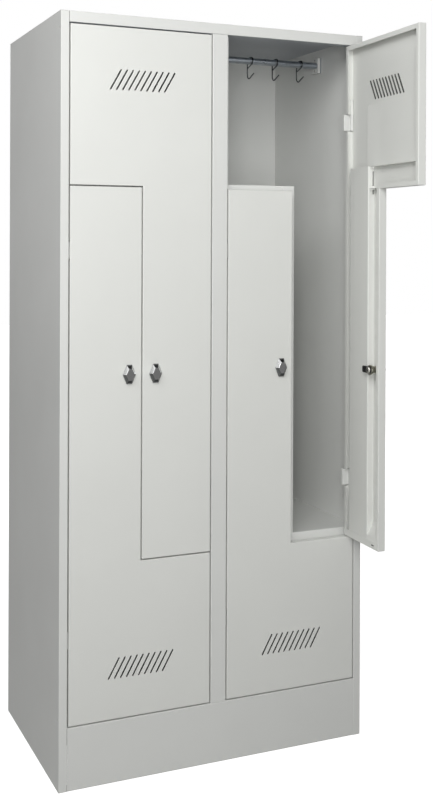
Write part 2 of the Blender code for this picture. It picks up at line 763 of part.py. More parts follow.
def make_lock(door):
    """Fixed lock body, turning knob with its spindle, and the tongue it carries."""
    place = door.lock_axis
    bore = SPINDLE_RADIUS + SEAT_GAP
    nut_far = CAM_OFFSET - SEAT_GAP
    nut_near = nut_far - LOCK_NUT_THICKNESS
    body = [
        (bore, -BODY_FLANGE_THICKNESS - SEAT_GAP),
        (BODY_FLANGE_RADIUS - SHEET, -BODY_FLANGE_THICKNESS - SEAT_GAP),
        (BODY_FLANGE_RADIUS, -SHEET),
        (BODY_FLANGE_RADIUS, -SEAT_GAP),
        (BARREL_RADIUS, -SEAT_GAP),
        (BARREL_RADIUS, nut_near),
        (LOCK_NUT_RADIUS, nut_near),
        (LOCK_NUT_RADIUS, nut_far),
        (bore, nut_far),
    ]
    turned_ring(door.name + "_lock_body", body, LOCK_STEEL, place)
    make_knob(door, place)
    make_tongue(door, place)


def hexagon(half_width, half_height, flat_share, depth):
    """Corners of the lug: points at the sides, short flats at top and bottom."""
    flat = half_width * flat_share
    return [(half_width, depth, 0), (flat, depth, half_height), (-flat, depth, half_height),
            (-half_width, depth, 0), (-flat, depth, -half_height), (flat, depth, -half_height)]


def make_knob(door, place):
    """The lug: a foot, a shoulder and four sloping facets to a small flat face."""
    flat_share = 0.42
    shoulder_share = 0.9
    face_width_share = 0.66
    face_height_share = 0.62
    face_flat_share = 0.36
    seat = -BODY_FLANGE_THICKNESS - 2 * SEAT_GAP
    shoulder = seat - KNOB_FOOT_THICKNESS
    rows = (
        hexagon(KNOB_HALF_WIDTH, KNOB_HALF_HEIGHT, flat_share, seat),
        hexagon(KNOB_HALF_WIDTH, KNOB_HALF_HEIGHT, flat_share, shoulder),
        hexagon(KNOB_HALF_WIDTH * shoulder_share, KNOB_HALF_HEIGHT * shoulder_share, flat_share,
                shoulder - SHEET),
        hexagon(KNOB_HALF_WIDTH * face_width_share, KNOB_HALF_HEIGHT * face_height_share, face_flat_share,
                seat - KNOB_DEPTH),
    )
    bm = bmesh.new()
    rings = [[bm.verts.new(point) for point in row] for row in rows]
    for near, far in zip(rings, rings[1:]):
        for i in range(len(near)):
            j = (i + 1) % len(near)
            bm.faces.new((near[i], near[j], far[j], far[i]))
    bm.faces.new(rings[0])
    bm.faces.new(rings[-1])
    bmesh.ops.recalc_face_normals(bm, faces=bm.faces)
    name = door.name + "_knob"
    knob = add_object(name, mesh_from(bm, name), PARTS, ZINC, place)
    bevel(knob, SMALL_EDGE)
    join_mesh(knob, cylinder_mesh("spindle", SPINDLE_RADIUS, seat - SHEET, SPINDLE_END, "Y", (0, 0)), "spindle")
    return knob


def make_tongue(door, place):
    """The flat tongue on the spindle; at rest it points to the hinge side."""
    name = door.name + "_tongue"
    half = CAM_WIDTH / 2
    tongue = add_object(name, box_mesh(name, (-CAM_REACH, CAM_OFFSET, -half), (half, CAM_OFFSET + CAM_THICKNESS, half)),
                        PARTS, BLACKED, place)
    corners = tongue.modifiers.new("corners", "BEVEL")
    corners.width = CAM_WIDTH / 4
    corners.segments = FOLD_STEPS
    corners.limit_method = "WEIGHT"
    weights = tongue.data.attributes.new("bevel_weight_edge", "FLOAT", "EDGE")
    for edge in tongue.data.edges:
        a, b = (tongue.data.vertices[i].co for i in edge.vertices)
        weights.data[edge.index].value = 1 if abs(a.y - b.y) > CAM_THICKNESS / 2 else 0
    cut_round(tongue, SPINDLE_RADIUS + SEAT_GAP, CAM_OFFSET - OVERRUN, CAM_OFFSET + OVERRUN, "Y", (0, 0))
    return tongue


def rounded_bar(name, low_x, high_x, y, z, finish):
    """A flat oval rail: a box whose long edges are fully rounded."""
    half_y = RAIL_DEPTH_SIZE / 2
    half_z = RAIL_THICKNESS / 2
    bar = add_object(name, box_mesh(name, (low_x, y - half_y, z - half_z), (high_x, y + half_y, z + half_z)),
                     PARTS, finish)
    weights = bar.data.attributes.new("bevel_weight_edge", "FLOAT", "EDGE")
    for edge in bar.data.edges:
        a, b = (bar.data.vertices[i].co for i in edge.vertices)
        weights.data[edge.index].value = 1 if abs(a.x - b.x) > half_y else 0
    rounding = bar.modifiers.new("oval", "BEVEL")
    rounding.width = half_z - SMALL_EDGE / 2
    rounding.segments = 4
    rounding.limit_method = "WEIGHT"
    return bar


def make_rail(name, low_x, high_x, level):
    """The rail with the plate that holds each end to the wall."""
    low = low_x + SEAT_GAP
    high = high_x - SEAT_GAP
    bar = rounded_bar(name, low + BRACKET_THICKNESS / 2, high - BRACKET_THICKNESS / 2, RAIL_PLACE, level, RAIL_STEEL)
    half_y = BRACKET_DEPTH / 2
    half_z = BRACKET_HEIGHT / 2
    for label, start in (("left_plate", low), ("right_plate", high - BRACKET_THICKNESS)):
        join_mesh(bar, box_mesh(label, (start, RAIL_PLACE - half_y, level - half_z),
                                (start + BRACKET_THICKNESS, RAIL_PLACE + half_y, level + half_z)), label)
    return bar


def arc(centre, radius, start, end, steps):
    """Points on an arc in the Y-Z plane, angles from +Y towards +Z."""
    points = []
    for i in range(steps + 1):
        angle = start + (end - start) * i / steps
        points.append((centre[0] + radius * math.cos(angle), centre[1] + radius * math.sin(angle)))
    return points


def hook_path():
    """Wire line of a hook: tip, bend, up behind the rail, round it and back down to the leg."""
    around = RAIL_THICKNESS / 2 + SEAT_GAP + HOOK_WIRE_RADIUS
    flat = (RAIL_DEPTH_SIZE - RAIL_THICKNESS) / 2
    back = flat + around
    bend = (back - HOOK_BEND_RADIUS, -HOOK_DROP)
    points = arc(bend, HOOK_BEND_RADIUS, -QUARTER - HOOK_TIP_RISE, 0, 7)
    tip = (points[0][0] - HOOK_TIP_LENGTH * math.cos(HOOK_TIP_RISE),
           points[0][1] + HOOK_TIP_LENGTH * math.sin(HOOK_TIP_RISE))
    points.insert(0, tip)
    points += arc((flat, 0), around, 0, QUARTER, 4)
    points += arc((-flat, 0), around, QUARTER, 3 * QUARTER, 8)
    points.append((back - 2 * HOOK_WIRE_RADIUS, -around - HOOK_END_DROP))
    return points


def make_hook(name, x, level):
    curve = bpy.data.curves.new(name, "CURVE")
    curve.dimensions = "3D"
    curve.bevel_depth = HOOK_WIRE_RADIUS
    curve.bevel_resolution = 1
    curve.use_fill_caps = True
    path = hook_path()
    spline = curve.splines.new("POLY")
    spline.points.add(len(path) - 1)
    for point, (y, z) in zip(spline.points, path):
        point.co = (0, y, z, 1)
    wire = bpy.data.objects.new(name + "_curve", curve)
    CUTTERS.objects.link(wire)
    mesh = bpy.data.meshes.new_from_object(wire.evaluated_get(bpy.context.evaluated_depsgraph_get()))
    bpy.data.objects.remove(wire, do_unlink=True)
    bm = bmesh.new()
    bm.from_mesh(mesh)
    bmesh.ops.remove_doubles(bm, verts=bm.verts, dist=SHEET / 100)
    bmesh.ops.recalc_face_normals(bm, faces=bm.faces)
    bm.to_mesh(mesh)
    bm.free()
    hook = add_object(name, mesh, PARTS, BLACKED)
    hook.location = (x, RAIL_PLACE, level)
    return hook


def make_rails_and_hooks(column, sign):
    middle = sign * COLUMN_CENTRE
    left_wall = -SIDE + SHEET if sign < 0 else SHEET / 2
    right_wall = -SHEET / 2 if sign < 0 else SIDE - SHEET
    make_rail(column + "_upper_rail", left_wall, right_wall, RAIL_LEVEL)
    for number in range(HOOKS_PER_RAIL):
        make_hook(column + "_upper_hook_" + str(number + 1), middle + HOOK_OFFSET + number * HOOK_SPACING, RAIL_LEVEL)
    web = middle - LEG_STOP_WIDTH
    level = UPPER_STEP_HEIGHT + STOP_WIDTH - SHORT_RAIL_DROP
    make_rail(column + "_lower_rail", left_wall, web, level)
    make_hook(column + "_lower_hook", (left_wall + web) / 2, level)


def smooth_round_pieces():
    for item in PARTS.objects:
        if item.type == "MESH":
            item.data.shade_smooth()
            item.data.set_sharp_from_angle(angle=SHARP_ANGLE)


def build():
    make_side("left_side", -1)
    make_side("right_side", 1)
    make_roof()
    make_plinth()
    make_floor_pan()
    make_floor_bearer()
    make_back_panel()
    make_centre_post()
    make_centre_partition()
    for column, sign in COLUMNS:
        make_partitions(column, sign)
        make_rails_and_hooks(column, sign)
        for row in ("upper", "lower"):
            door = Door(column, sign, row)
            make_door_pan(door)
            make_stiffeners(door)
            for label, start, way in door.hinges:
                make_frame_leaf(door, label, start, way)
            make_lock(door)
    smooth_round_pieces()


build()
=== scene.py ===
# Looks for the Z locker: paint, metals, small fittings, floor, light and camera around
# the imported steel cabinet. The frame is in metres; sizes in the dictionaries of the finishes
# and fittings are millimetres.
import json
import math

import bmesh
import bpy
from mathutils import Matrix, Vector


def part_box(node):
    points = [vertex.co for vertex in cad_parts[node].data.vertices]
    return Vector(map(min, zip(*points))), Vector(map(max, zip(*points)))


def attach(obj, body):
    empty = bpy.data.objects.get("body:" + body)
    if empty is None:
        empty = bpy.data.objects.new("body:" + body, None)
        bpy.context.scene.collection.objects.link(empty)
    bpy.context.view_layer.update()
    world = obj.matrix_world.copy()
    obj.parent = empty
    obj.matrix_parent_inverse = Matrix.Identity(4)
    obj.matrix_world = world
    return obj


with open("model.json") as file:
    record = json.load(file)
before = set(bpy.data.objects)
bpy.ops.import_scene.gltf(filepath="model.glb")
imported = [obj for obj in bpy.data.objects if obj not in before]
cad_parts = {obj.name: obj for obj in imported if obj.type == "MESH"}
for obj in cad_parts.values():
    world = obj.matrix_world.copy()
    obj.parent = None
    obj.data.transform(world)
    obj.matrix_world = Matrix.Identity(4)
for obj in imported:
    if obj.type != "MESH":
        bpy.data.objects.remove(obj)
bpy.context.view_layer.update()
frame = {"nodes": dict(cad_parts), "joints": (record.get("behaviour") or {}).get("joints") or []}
nodes = frame["nodes"]
joints = {joint["name"]: joint for joint in frame["joints"]}
doorNames = [row + "_" + column for row in ("upper", "lower") for column in ("left", "right")]
mm = 0.001
print("frame loaded:", len(nodes), "pieces")


def linear(hexColour):
    channels = [int(hexColour[i:i + 2], 16) / 255 for i in (0, 2, 4)]
    return [c / 12.92 if c <= 0.04045 else ((c + 0.055) / 1.055) ** 2.4 for c in channels] + [1.0]


def addNode(tree, kind, settings=None, links=None):
    # settings names inputs or properties, links names inputs and the sockets that feed them
    node = tree.nodes.new(kind)
    for name, value in (settings or {}).items():
        if isinstance(name, str) and hasattr(node, name):
            setattr(node, name, value)
        else:
            node.inputs[name].default_value = value
    for name, source in (links or {}).items():
        tree.links.new(source, node.inputs[name])
    return node


def newMaterial(name, baseHex, roughness, metallic=0.0):
    made = bpy.data.materials.new(name)
    made.use_nodes = True
    shader = made.node_tree.nodes["Principled BSDF"]
    shader.inputs["Base Color"].default_value = linear(baseHex)
    shader.inputs["Roughness"].default_value = roughness
    shader.inputs["Metallic"].default_value = metallic
    if not metallic:
        shader.inputs["IOR"].default_value = 1.5  # polyester paint and plain dull skins
    return made, made.node_tree, shader


def perMetre(sizeMm):
    # noise scale that gives features of this size
    return 1000.0 / sizeMm


paintLook = {
    "carcass": "D9DAD7",
    "carcassShade": "D3D4D1",
    "door": "DDDEDA",
    "doorShade": "D7D8D4",
    "cloud": 180.0,
    # painted shade for the roof's faces that look down into the cabinet
    "underside": "A8ACB2",
    "undersideFacing": (-0.8, -0.98),  # normal's z where the painted shade begins and is full
    "roughness": 0.42,
    "smoothest": -0.04,
    "roughest": 0.05,
    "peel": 5.0,
    "peelHeight": 0.06,
    "peelStrength": 0.25,
    "panelWave": 260.0,
    "panelWaveHeight": 1.2,
    "panelWaveStrength": 0.35,
}


def powderCoat(name, lightHex, shadeHex, undersideHex=None):
    # polyester powder coat, sprayed and oven cured on steel: an even satin grey with a slight
    # orange peel, and the sheet's own long waves that bend soft highlights
    look = paintLook
    made, tree, shader = newMaterial(name, lightHex, look["roughness"])
    place = addNode(tree, "ShaderNodeTexCoord")
    cloud = addNode(tree, "ShaderNodeTexNoise",
                    {"Scale": perMetre(look["cloud"]), "Detail": 3.0, "Roughness": 0.55},
                    {"Vector": place.outputs["Object"]})
    tint = addNode(tree, "ShaderNodeMix",
                   {"data_type": "RGBA", 6: linear(lightHex), 7: linear(shadeHex)},
                   {0: cloud.outputs["Fac"]})
    colour = tint.outputs[2]
    if undersideHex:
        # painted shade: a darker grey-blue on the faces that look down into the cabinet, for the shade under
        # the roof
        begins, full = look["undersideFacing"]
        split = addNode(tree, "ShaderNodeSeparateXYZ", None, {0: place.outputs["Normal"]})
        down = addNode(tree, "ShaderNodeMapRange", {"From Min": begins, "From Max": full},
                       {"Value": split.outputs["Z"]})
        undersideShadeMix = addNode(tree, "ShaderNodeMix", {"data_type": "RGBA", 7: linear(undersideHex)},
                       {0: down.outputs["Result"], 6: colour})
        colour = undersideShadeMix.outputs[2]
    tree.links.new(colour, shader.inputs["Base Color"])
    # real orange peel is about 2 mm from crest to crest, drawn coarser so that it shows
    peel = addNode(tree, "ShaderNodeTexNoise", {"Scale": perMetre(look["peel"]), "Detail": 1.0},
                   {"Vector": place.outputs["Object"]})
    wave = addNode(tree, "ShaderNodeTexNoise",
                   {"Scale": perMetre(look["panelWave"]), "Detail": 0.0},
                   {"Vector": place.outputs["Object"]})
    waveBump = addNode(tree, "ShaderNodeBump",
                       {"Strength": look["panelWaveStrength"], "Distance": look["panelWaveHeight"] * mm},
                       {"Height": wave.outputs["Fac"]})
    peelBump = addNode(tree, "ShaderNodeBump",
                       {"Strength": look["peelStrength"], "Distance": look["peelHeight"] * mm},
                       {"Height": peel.outputs["Fac"], "Normal": waveBump.outputs["Normal"]})
    tree.links.new(peelBump.outputs["Normal"], shader.inputs["Normal"])
    gloss = addNode(tree, "ShaderNodeMapRange", {"To Min": look["roughness"] + look["smoothest"],
                                                 "To Max": look["roughness"] + look["roughest"]},
                    {"Value": cloud.outputs["Fac"]})
    tree.links.new(gloss.outputs["Result"], shader.inputs["Roughness"])
    return made


knobLook = {
    "face": "7B7B7B",
    # flank is the painted highlight, under the painted shade, end the painted dark reflection on the short
    # ends
    "flankPaintedLight": "DADBDC",
    "under": "636465",
    "end": "2C2D2E",
    "roughness": 0.16,
    "ripple": 9.0,
    "rippleHeight": 0.25,
    "endPaintedDarkFacing": (0.35, 0.6),  # how squarely a face looks along the knob's short ends, which get the painted dark reflection
    "faceFacing": (0.8, 0.97),  # and along its axis
    "upPaintedLightFacing": (-0.12, 0.12),
}


def zincWithPaintedLight(name, axis):
    # zinc die casting, nickel plated, with a satin face; its flanks carry painted light: a painted highlight
    # on the upper flanks, painted shade on the lower ones and a painted dark reflection on the two short
    # ends
    look = knobLook
    made, tree, shader = newMaterial(name, look["face"], look["roughness"], 1.0)
    place = addNode(tree, "ShaderNodeTexCoord")

    def along(direction, limits):
        facing = addNode(tree, "ShaderNodeVectorMath", {"operation": "DOT_PRODUCT", 1: direction},
                         {0: place.outputs["Normal"]})
        size = addNode(tree, "ShaderNodeMath", {"operation": "ABSOLUTE"}, {0: facing.outputs["Value"]})
        return addNode(tree, "ShaderNodeMapRange", {"From Min": limits[0], "From Max": limits[1]},
                       {"Value": size.outputs[0]}).outputs["Result"]

    sideways = Vector(axis).cross(Vector((0, 0, 1)))
    # painted highlight on faces that look up, painted shade on those that look down, painted dark reflection
    # on the short ends
    lowest, highest = look["upPaintedLightFacing"]
    split = addNode(tree, "ShaderNodeSeparateXYZ", None, {0: place.outputs["Normal"]})
    paintedLightUpward = addNode(tree, "ShaderNodeMapRange", {"From Min": lowest, "From Max": highest},
                     {"Value": split.outputs["Z"]})
    flankLitAndShaded = addNode(tree, "ShaderNodeMix",
                       {"data_type": "RGBA", 6: linear(look["under"]), 7: linear(look["flankPaintedLight"])},
                       {0: paintedLightUpward.outputs["Result"]})
    flankPaintedLight = addNode(tree, "ShaderNodeMix", {"data_type": "RGBA", 6: linear(look["end"])},
                    {0: along(sideways, look["endPaintedDarkFacing"]), 7: flankLitAndShaded.outputs[2]})
    tint = addNode(tree, "ShaderNodeMix", {"data_type": "RGBA", 7: linear(look["face"])},
                   {0: along(axis, look["faceFacing"]), 6: flankPaintedLight.outputs[2]})
    tree.links.new(tint.outputs[2], shader.inputs["Base Color"])
    ripple = addNode(tree, "ShaderNodeTexNoise", {"Scale": perMetre(look["ripple"]), "Detail": 2.0},
                     {"Vector": place.outputs["Object"]})
    bump = addNode(tree, "ShaderNodeBump", {"Strength": 0.2, "Distance": look["rippleHeight"] * mm},
                   {"Height": ripple.outputs["Fac"]})
    tree.links.new(bump.outputs["Normal"], shader.inputs["Normal"])
    return made


platingLook = {
    "barrel": "ABA99C",
    "barrelRoughness": 0.3,
    "fastener": "D2D1CC",
    "fastenerRoughness": 0.22,
    "grain": 2.5,
    "grainHeight": 0.1,
    "stretch": (1.0, 1.0, 0.12),
    "smoothest": -0.08,
    "roughest": 0.1,
}


def platedSteel(name, baseHex, roughness):
    # bright zinc plating on pressed steel: cool grey with a fine rolled grain along the part
    look = platingLook
    made, tree, shader = newMaterial(name, baseHex, roughness, 1.0)
    place = addNode(tree, "ShaderNodeTexCoord")
    stretch = addNode(tree, "ShaderNodeMapping", {"Scale": look["stretch"]},
                      {"Vector": place.outputs["Object"]})
    grain = addNode(tree, "ShaderNodeTexNoise", {"Scale": perMetre(look["grain"]), "Detail": 3.0},
                    {"Vector": stretch.outputs["Vector"]})
    gloss = addNode(tree, "ShaderNodeMapRange", {"To Min": roughness + look["smoothest"],
                                                 "To Max": roughness + look["roughest"]},
                    {"Value": grain.outputs["Fac"]})
    tree.links.new(gloss.outputs["Result"], shader.inputs["Roughness"])
    bump = addNode(tree, "ShaderNodeBump", {"Strength": 0.15, "Distance": look["grainHeight"] * mm},
                   {"Height": grain.outputs["Fac"]})
    tree.links.new(bump.outputs["Normal"], shader.inputs["Normal"])
    return made


railLook = {
    "zinc": "A2A8B0",
    "spangle": 8.0,
    "shade": (0.9, 1.08),
    "roughness": (0.26, 0.42),
}


def galvanisedSteel(name):
    # hot-dip galvanised strip: dull blue-grey with zinc crystals (spangle) about 8 mm across
    look = railLook
    smooth, rough = look["roughness"]
    dark, light = look["shade"]
    made, tree, shader = newMaterial(name, look["zinc"], (smooth + rough) / 2, 1.0)
    place = addNode(tree, "ShaderNodeTexCoord")
    spangle = addNode(tree, "ShaderNodeTexVoronoi", {"Scale": perMetre(look["spangle"])},
                      {"Vector": place.outputs["Object"]})
    shade = addNode(tree, "ShaderNodeMapRange", {"To Min": dark, "To Max": light},
                    {"Value": spangle.outputs["Color"]})
    tint = addNode(tree, "ShaderNodeMix",
                   {"data_type": "RGBA", "blend_type": "MULTIPLY", 0: 1.0, 6: linear(look["zinc"])},
                   {7: shade.outputs["Result"]})
    tree.links.new(tint.outputs[2], shader.inputs["Base Color"])
    gloss = addNode(tree, "ShaderNodeMapRange", {"To Min": smooth, "To Max": rough},
                    {"Value": spangle.outputs["Color"]})
    tree.links.new(gloss.outputs["Result"], shader.inputs["Roughness"])
    return made


blackedLook = {
    "hook": "6E7174",
    "hookRoughness": 0.22,
    "hookMetallic": 0.95,
    "tongue": "1B1B1C",
    "tongueRoughness": 0.45,
    "tongueMetallic": 0.35,
    "rubbed": "4A4B4C",
    "rub": 12.0,
    "rubAmount": 0.4,
}


def blackedSteel(name, baseHex, roughness, metallic):
    # blackened steel: near-black oxide skin, worn a little lighter in soft patches
    look = blackedLook
    made, tree, shader = newMaterial(name, baseHex, roughness, metallic)
    place = addNode(tree, "ShaderNodeTexCoord")
    rub = addNode(tree, "ShaderNodeTexNoise", {"Scale": perMetre(look["rub"]), "Detail": 4.0},
                  {"Vector": place.outputs["Object"]})
    worn = addNode(tree, "ShaderNodeMapRange",
                   {"From Min": 0.55, "From Max": 0.8, "To Max": look["rubAmount"]},
                   {"Value": rub.outputs["Fac"]})
    tint = addNode(tree, "ShaderNodeMix",
                   {"data_type": "RGBA", 6: linear(baseHex), 7: linear(look["rubbed"])},
                   {0: worn.outputs["Result"]})
    tree.links.new(tint.outputs[2], shader.inputs["Base Color"])
    return made


carcassPaint = powderCoat("carcassPowderCoat", paintLook["carcass"], paintLook["carcassShade"])
# the roof carries painted shade on its faces that look down into the cabinet
roofPaintShadedUnderside = powderCoat("roofPowderCoatShadedUnderside", paintLook["carcass"], paintLook["carcassShade"],
                       paintLook["underside"])
doorPaint = powderCoat("doorPowderCoat", paintLook["door"], paintLook["doorShade"])
lockSteel = platedSteel("platedLockSteel", platingLook["barrel"], platingLook["barrelRoughness"])
fastenerSteel = platedSteel("brightZincPlate", platingLook["fastener"], platingLook["fastenerRoughness"])
railSteel = galvanisedSteel("galvanisedSteel")
hookSteel = blackedSteel("blackenedWire", blackedLook["hook"], blackedLook["hookRoughness"],
                         blackedLook["hookMetallic"])
tongueSteel = blackedSteel("blackenedTongue", blackedLook["tongue"], blackedLook["tongueRoughness"],
                           blackedLook["tongueMetallic"])
knobZincPaintedLight = {name: zincWithPaintedLight("nickelZincPaintedLight_" + name, joints[name + "_knob_turn"]["axis"])
            for name in doorNames}


def finishFor(name):
    if name.endswith("_knob"):
        return knobZincPaintedLight[name[:-len("_knob")]]
    if name.endswith("_tongue"):
        return tongueSteel
    if name.endswith("_lock_body"):
        return lockSteel
    if name.endswith("_rail"):
        return railSteel
    if "_hook" in name:
        return hookSteel
    if name.endswith("_door") or name.endswith("_stiffener"):
        return doorPaint
    if name == "roof":
        return roofPaintShadedUnderside
    return carcassPaint


for nodeName, node in nodes.items():
    node.data.materials.clear()
    node.data.materials.append(finishFor(nodeName))
print("finishes on")


def addPiece(name, bm, material, body, bevelWidth=0.0):
    mesh = bpy.data.meshes.new(name)
    bmesh.ops.recalc_face_normals(bm, faces=bm.faces)
    bm.to_mesh(mesh)
    bm.free()
    piece = bpy.data.objects.new(name, mesh)
    bpy.context.scene.collection.objects.link(piece)
    mesh.materials.append(material)
    if bevelWidth:
        edge = piece.modifiers.new("softEdges", "BEVEL")
        edge.width = bevelWidth
        edge.segments = 2
        edge.limit_method = "ANGLE"
    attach(piece, body)


def bridgeRings(bm, rings, closed=False):
    # quads between rows of points that match one to one; closed joins the last row to the first
    rows = [[bm.verts.new(point) for point in ring] for ring in rings]
    pairs = list(zip(rows, rows[1:])) + ([(rows[-1], rows[0])] if closed else [])
    for near, far in pairs:
        for i in range(len(near)):
            j = (i + 1) % len(near)
            bm.faces.new((near[i], near[j], far[j], far[i]))
    return rows


doorLook = {
    "front": -250.0,  # y of the skin's outer face
    "column": 200.0,  # x of a column's middle
    "halfWidth": 177.0,
    "thickness": 20.0,
}


def doorTurn(name):
    # from the door's shut place to its place at rest
    hinge = joints[name + "_door_hinge"]
    shutAngle = min(hinge["range_deg"][0], 0.0)
    pivot = Vector(hinge["pos_m"])
    swing = Matrix.Rotation(math.radians(-shutAngle), 4, Vector(hinge["axis"]))
    return Matrix.Translation(pivot) @ swing @ Matrix.Translation(-pivot)


def doorSpan(name):
    # x of the door's middle, x of its hinge edge, and the way in x that leads off the hinge
    row, column = name.split("_")
    middle = doorLook["column"] * (-1 if column == "left" else 1)
    away = -1 if row == "upper" else 1
    return middle, middle - away * doorLook["halfWidth"], away


def doorPoint(across, depth, height):
    # a point on the shut door, with its depth behind the skin's outer face
    return Vector((across, doorLook["front"] + depth, height)) * mm


def addDoorPiece(name, ending, bm, material, body="_door", bevelWidth=0.0):
    # fittings are drawn on the shut door, then turned to where it stands at rest
    bmesh.ops.transform(bm, matrix=doorTurn(name), verts=bm.verts)
    addPiece(name + ending, bm, material, name + body, bevelWidth)


ventLook = {
    "count": 10,
    "pitch": 15.0,
    "height": 49.0,
    "lean": 27.5,
    "width": 3.4,
    "wall": 0.07,
    "startDepth": 0.15,
    "endDepth": 2.7,
    "heights": {"upper": 1648.0, "lower": 268.0},
    "roundSteps": 6,
    # painted shade for the slot linings, with a random lighter mottle
    "colour": "2E2F2D",
    "shadeMottle": "4A4B48",
    "shadeMottleSize": 6.0,
    "roughness": 0.6,
}


def ventPaintedShade():
    # painted shade: dark linings in the cut edges of the slots stand for the shade seen through them,
    # mottled at random
    look = ventLook
    made, tree, shader = newMaterial("paintedShadeInVentSlots", look["colour"], look["roughness"])
    place = addNode(tree, "ShaderNodeTexCoord")
    shadeMottle = addNode(tree, "ShaderNodeTexNoise", {"Scale": perMetre(look["shadeMottleSize"]), "Detail": 3.0},
                   {"Vector": place.outputs["Object"]})
    tint = addNode(tree, "ShaderNodeMix",
                   {"data_type": "RGBA", 6: linear(look["colour"]), 7: linear(look["shadeMottle"])},
                   {0: shadeMottle.outputs["Fac"]})
    tree.links.new(tint.outputs[2], shader.inputs["Base Color"])
    return made


ventShadePaint = ventPaintedShade()


def slotOutline(centreX, centreZ, depth, halfWidth):
    # a leaning slot with round ends, across the door at one depth
    look = ventLook
    lean = math.atan2(look["lean"], look["height"])
    reach = math.hypot(look["lean"], look["height"]) / 2 - look["width"] / 2
    points = []
    for end in (1, -1):
        for step in range(look["roundSteps"] + 1):
            turn = math.pi * step / look["roundSteps"]
            along = end * (reach + halfWidth * math.sin(turn))
            across = end * halfWidth * math.cos(turn)
            x = centreX + along * math.sin(lean) + across * math.cos(lean)
            z = centreZ + along * math.cos(lean) - across * math.sin(lean)
            points.append(doorPoint(x, depth, z))
    return points


def addVentShadeLinings(name):
    look = ventLook
    middle = doorSpan(name)[0]
    level = look["heights"][name.split("_")[0]]
    near, far = look["startDepth"], look["endDepth"]
    inner = look["width"] / 2
    outer = inner + look["wall"]
    bm = bmesh.new()
    for number in range(look["count"]):
        x = middle + (number - (look["count"] - 1) / 2) * look["pitch"]
        bridgeRings(bm, [slotOutline(x, level, near, inner), slotOutline(x, level, near, outer),
                         slotOutline(x, level, far, outer), slotOutline(x, level, far, inner)], closed=True)
    addDoorPiece(name, "_vent_edges", bm, ventShadePaint)


def joinEdge(bm, layers, edge):
    # closes a loop of points from the front layer to the back one
    front, back = layers
    for a, b in zip(edge, edge[1:] + edge[:1]):
        bm.faces.new((front[a], front[b], back[b], back[a]))


def sheetPlate(bm, sheets, acrossSteps, upSteps, slot=None):
    # a thin plate from two layers of points, closed round its rim; slot is a cell left open
    layers = [[bm.verts.new(point) for point in grid] for grid in sheets]
    wide = upSteps + 1
    for verts in layers:
        for i in range(acrossSteps):
            for j in range(upSteps):
                a = i * wide + j
                if (i, j) != slot:
                    bm.faces.new((verts[a], verts[a + 1], verts[a + wide + 1], verts[a + wide]))
    joinEdge(bm, layers, list(range(wide)) + [i * wide + upSteps for i in range(1, acrossSteps + 1)]
             + [acrossSteps * wide + j for j in range(upSteps - 1, -1, -1)]
             + [i * wide for i in range(acrossSteps - 1, 0, -1)])
    if slot:
        a = slot[0] * wide + slot[1]
        joinEdge(bm, layers, [a, a + 1, a + wide + 1, a + wide])


backingLook = {
    "hingeInset": 88.0,
    "freeInset": 6.0,
    "ventDistance": 36.0,
    "stiffenerGap": 0.6,
    "thickness": 1.0,
    "skinBack": 1.2,
    "curl": 3.4,
    "curlWide": 60.0,
    "curlHigh": 16.0,
    "acrossSteps": 24,
    "upSteps": 14,
    "crowding": 1.6,  # steps lie closer together where the sheet curls
}


def addBacking(name):
    # backing sheet spot-welded behind the wide part, bowed off the skin along its hinge side
    look = backingLook
    hingeEdge, away = doorSpan(name)[1:]
    row = name.split("_")[0]
    up, nearEnd = (1, 1) if row == "upper" else (-1, 0)
    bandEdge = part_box(name + "_step_stiffener")[nearEnd][2] / mm + up * look["stiffenerGap"]
    ventEdge = ventLook["heights"][row] - up * look["ventDistance"]
    acrossSteps, upSteps = look["acrossSteps"], look["upSteps"]
    low, high = look["hingeInset"], 2 * doorLook["halfWidth"] - look["freeInset"]
    sheets = []
    for layer in (0.0, look["thickness"]):
        grid = []
        for i in range(acrossSteps + 1):
            inset = low + (high - low) * (i / acrossSteps) ** look["crowding"]
            nearHinge = max(0.0, 1 - (inset - low) / look["curlWide"])
            for j in range(upSteps + 1):
                height = ventEdge + (bandEdge - ventEdge) * (j / upSteps) ** look["crowding"]
                offVents = min(1.0, abs(height - ventEdge) / look["curlHigh"])
                depth = look["skinBack"] + layer + look["curl"] * nearHinge * offVents
                grid.append(doorPoint(hingeEdge + away * inset, depth, height))
        sheets.append(grid)
    bm = bmesh.new()
    sheetPlate(bm, sheets, acrossSteps, upSteps)
    addDoorPiece(name, "_backing_sheet", bm, doorPaint)


footLook = {
    "coverInsets": (1.5, 60.0, 116.5),  # over the stiffener, counted from the hinge edge
    "tabStart": 118.0,
    "tabMiddle": 130.0,
    "tabEnd": 163.5,
    "tabShares": (0.25, 0.5, 0.75, 1.0),
    "tabCorner": 160.0,
    "tabRise": 44.0,
    "tabDepth": 2.4,
    "edge": 1.5,
    "hatCover": 5.0,
    "clear": 0.1,
    "thickness": 0.6,
    "weld": 0.02,
    "slotInset": (144.5, 155.5),
    "slotHeight": (8.4, 11.6),
    "blockGap": 0.2,
    "blockDepth": 1.4,
    "blockProud": 0.5,
    "blockBevel": 0.3,
}


